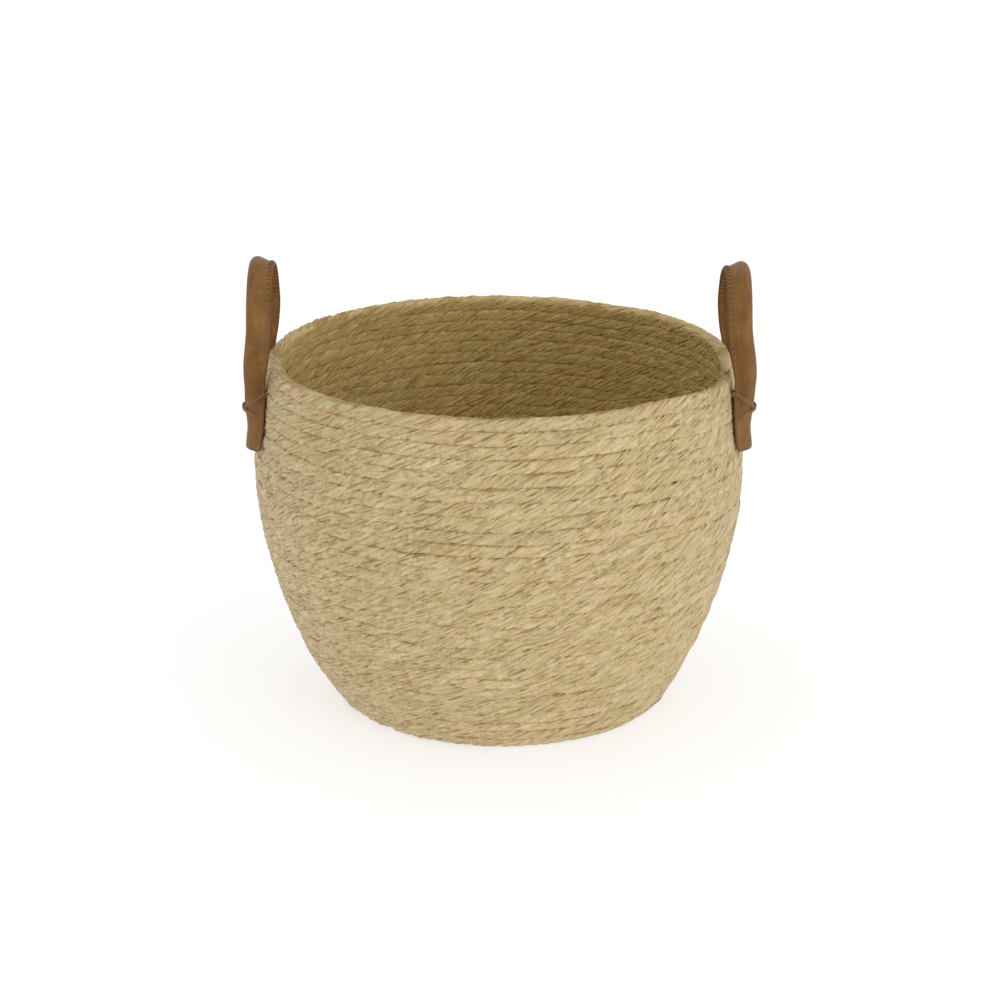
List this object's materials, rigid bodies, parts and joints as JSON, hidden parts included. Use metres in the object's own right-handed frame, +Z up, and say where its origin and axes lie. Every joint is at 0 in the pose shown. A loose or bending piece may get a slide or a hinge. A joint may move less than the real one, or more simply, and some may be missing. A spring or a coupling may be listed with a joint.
{
  "type": "seagrass storage basket",
  "caption": "Round coiled seagrass rope basket with a bulging wall, an open top and two upright leather loop handles laced to its sides.",
  "frame": {"origin": "middle of the flat underside, where the basket stands", "axes": "+Z up out of the mouth; the handles stand at +X and -X; -Y is the front"},
  "size_m": [0.4052, 0.3994, 0.3693],
  "materials": {
    "seagrass": "matte",
    "tan_leather": "satin",
    "cord_fibre": "matte",
    "waxed_thread": "satin"
  },
  "bodies": {
    "basket": {"base_spiral": "seagrass", "wall_coil": "seagrass", "rim_course": "seagrass", "left_front_tab": "tan_leather", "left_rear_tab": "tan_leather", "right_front_tab": "tan_leather", "right_rear_tab": "tan_leather", "left_front_lashing": "waxed_thread", "left_rear_lashing": "waxed_thread", "right_front_lashing": "waxed_thread", "right_rear_lashing": "waxed_thread"},
    "left_handle": {"left_handle_grip": "tan_leather", "left_handle_core": "cord_fibre", "left_handle_seam": "waxed_thread"},
    "right_handle": {"right_handle_grip": "tan_leather", "right_handle_core": "cord_fibre", "right_handle_seam": "waxed_thread"}
  },
  "joints": [
    {"name": "left_handle_fold", "type": "hinge", "parent": "basket", "child": "left_handle", "pos_m": [-0.1965, 0, 0.2735], "axis": [0, -1, 0], "range_deg": [0, 100]},
    {"name": "right_handle_fold", "type": "hinge", "parent": "basket", "child": "right_handle", "pos_m": [0.1965, 0, 0.2735], "axis": [0, 1, 0], "range_deg": [0, 100]}
  ]
}
